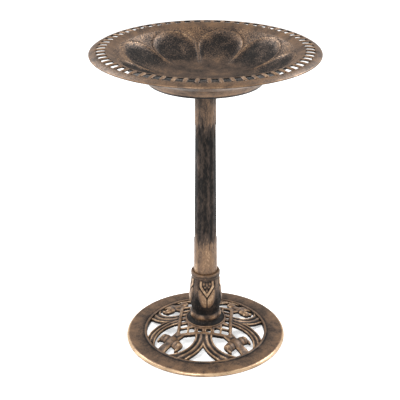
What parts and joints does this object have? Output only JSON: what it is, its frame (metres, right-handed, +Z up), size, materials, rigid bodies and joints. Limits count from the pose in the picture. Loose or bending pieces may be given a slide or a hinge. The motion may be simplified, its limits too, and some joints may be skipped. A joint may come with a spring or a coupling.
{
  "type": "bird bath",
  "caption": "Free-standing pedestal bird bath: dished bowl with an openwork rim on a slim fluted column, a leaf collar and a round scrollwork base.",
  "frame": {"origin": "middle of the base ring's underside, on the ground", "axes": "+Z up along the column, -Y towards the front of the scrollwork base"},
  "size_m": [0.504, 0.504, 0.72],
  "materials": {
    "bronzed_resin_bowl": "cast resin, near-black with a rubbed antique-bronze top coat, satin, finely stippled in the relief",
    "bronzed_resin_column": "cast resin, near-black with sparse rubbed bronze, satin",
    "bronzed_resin_base": "cast resin, near-black with a rubbed antique-bronze top coat, satin",
    "black_plastic": "moulded, matt",
    "rubber": "matt",
    "steel": "zinc plated"
  },
  "bodies": {
    "pedestal": {"scroll_base": "bronzed_resin_base", "leaf_collar": "bronzed_resin_base", "column_foot": "black_plastic", "captive_nut": "steel", "column_tube": "bronzed_resin_column", "column_head": "bronzed_resin_column", "base_bolt": "steel", "bolt_washer": "steel", "collar_screws": "steel"},
    "seat": {"seat_washer": "rubber"},
    "bowl": {"bowl": "bronzed_resin_bowl", "bowl_plug": "black_plastic", "plug_screws": "steel"}
  },
  "joints": [
    {"name": "bowl_turn", "type": "hinge", "parent": "pedestal", "child": "seat", "pos_m": [0, 0, 0.639], "axis": [0, 0, 1], "continuous": true},
    {"name": "bowl_lift", "type": "slide", "parent": "seat", "child": "bowl", "axis": [0, 0, 1], "range_m": [0, 0.06]}
  ]
}
